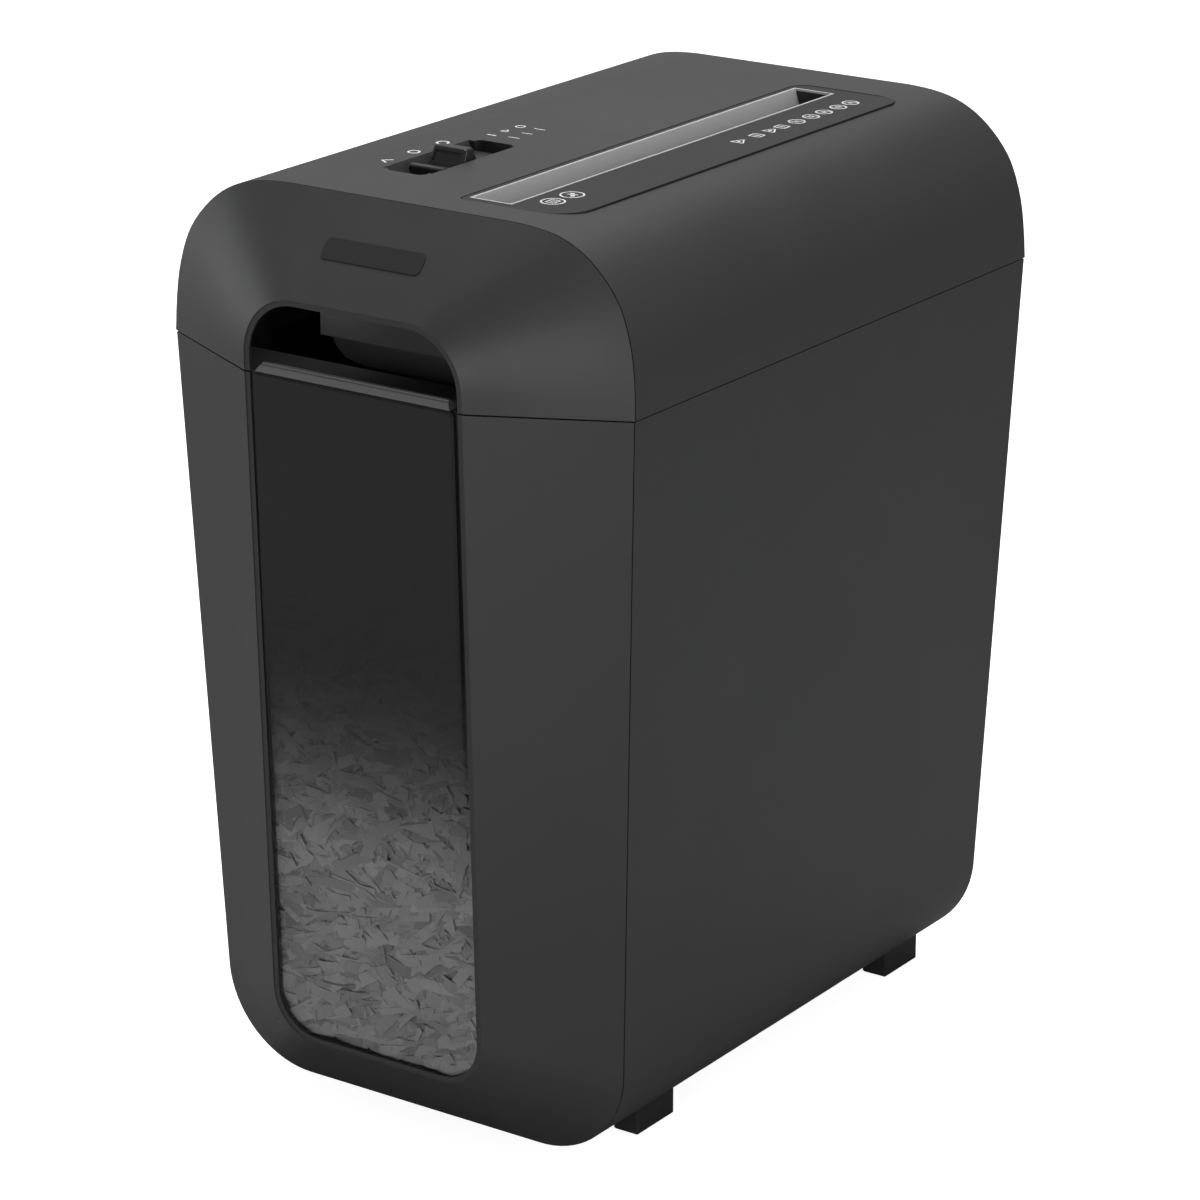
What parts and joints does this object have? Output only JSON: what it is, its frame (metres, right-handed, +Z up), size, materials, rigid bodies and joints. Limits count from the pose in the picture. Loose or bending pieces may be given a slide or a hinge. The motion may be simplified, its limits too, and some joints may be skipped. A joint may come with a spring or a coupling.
{
  "type": "paper shredder",
  "caption": "Upright office paper shredder: charcoal casing with a faceted bulging front, long feed slot and slide switch on top, pull-out waste bin with a smoked window, rubber feet.",
  "frame": {"origin": "centre of the bounding box footprint, on the plane the feet stand on", "axes": "+Z up, the window and hand-hold face -Y, +X to the right seen from the front"},
  "size_m": [0.2152, 0.3134, 0.3838],
  "materials": {
    "charcoal_plastic": "satin, fine moulded grain",
    "lip_plastic": "satin",
    "label_film": "speckled matt",
    "liner_plastic": "satin",
    "knob_plastic": "satin",
    "badge": "blank satin plate",
    "smoked_window": "smoked, polished",
    "dark_plastic": "matt",
    "paper": "shredded paper strips",
    "rubber": "matt",
    "steel": "zinc plated",
    "hard_steel": "ground",
    "comb_plastic": "matt",
    "bronze": "sintered",
    "gear_plastic": "natural acetal",
    "gear_steel": "cut",
    "board": "solder resist",
    "led": "diffuse",
    "capacitor": "sleeved"
  },
  "bodies": {
    "housing": {"cabinet_shell": "charcoal_plastic", "top_cover": "charcoal_plastic", "slot_label_panel": "label_film", "slot_liner": "liner_plastic", "badge_plate": "badge", "cabinet_rails": "dark_plastic", "gear_guard": "dark_plastic", "gearbox_cover": "dark_plastic", "slide_switch_body": "dark_plastic", "interlock_switch": "dark_plastic", "cord_gland": "dark_plastic", "board_components": "dark_plastic", "motor_end_cap": "dark_plastic", "lid_posts": "dark_plastic", "rubber_feet": "rubber", "front_frame_plate": "steel", "rear_frame_plate": "steel", "tie_rods": "steel", "tie_rod_nuts": "steel", "chassis_deck": "steel", "frame_brackets": "steel", "lid_screws": "steel", "foot_screws": "steel", "motor_screws": "steel", "gearbox_screws": "steel", "idler_spindle": "steel", "motor_can": "steel", "stripper_comb_left": "comb_plastic", "stripper_comb_right": "comb_plastic", "shaft_bushes": "bronze", "control_board": "board", "board_posts": "board", "led_light_bars": "led", "motor_capacitor": "capacitor"},
    "bin": {"bin_front": "charcoal_plastic", "bin_tub": "dark_plastic", "bin_glides": "dark_plastic", "bin_window": "smoked_window", "bin_grip_lip": "lip_plastic", "shredded_paper": "paper"},
    "switch_slider": {"slide_switch_knob": "knob_plastic"},
    "cutter_left": {"cutter_shaft_left": "steel", "cutter_discs_left": "hard_steel", "timing_gear_left": "gear_steel", "drive_gear": "gear_plastic"},
    "cutter_right": {"cutter_shaft_right": "steel", "cutter_discs_right": "hard_steel", "timing_gear_right": "gear_steel"},
    "idler": {"idler_pinion": "gear_plastic", "idler_wheel": "gear_plastic"},
    "motor_rotor": {"motor_shaft": "steel", "motor_pinion": "gear_steel"},
    "interlock_pin": {"interlock_plunger": "dark_plastic"}
  },
  "joints": [
    {"name": "bin_slide", "type": "slide", "parent": "housing", "child": "bin", "axis": [0, -1, 0], "range_m": [0, 0.25]},
    {"name": "interlock_press", "type": "slide", "parent": "housing", "child": "interlock_pin", "axis": [0, -1, 0], "range_m": [0, 0.004]},
    {"name": "switch_slide", "type": "slide", "parent": "housing", "child": "switch_slider", "axis": [0, 1, 0], "range_m": [-0.013, 0.004]},
    {"name": "cutter_left_spin", "type": "hinge", "parent": "housing", "child": "cutter_left", "pos_m": [0.0091, 0.00754, 0.3404], "axis": [0, 1, 0], "continuous": true},
    {"name": "cutter_right_spin", "type": "hinge", "parent": "housing", "child": "cutter_right", "pos_m": [0.0451, 0.00754, 0.3404], "axis": [0, 1, 0], "continuous": true},
    {"name": "idler_spin", "type": "hinge", "parent": "housing", "child": "idler", "pos_m": [-0.02521, 0.13254, 0.3295], "axis": [0, 1, 0], "continuous": true},
    {"name": "motor_spin", "type": "hinge", "parent": "housing", "child": "motor_rotor", "pos_m": [-0.05, 0.07254, 0.3464], "axis": [0, 1, 0], "continuous": true}
  ],
  "couplings": [
    {"joint": "interlock_press", "follows": "bin_slide", "ratio": 0.016},
    {"joint": "cutter_right_spin", "follows": "cutter_left_spin", "ratio": -1},
    {"joint": "idler_spin", "follows": "cutter_left_spin", "ratio": -3},
    {"joint": "motor_spin", "follows": "cutter_left_spin", "ratio": 12}
  ]
}
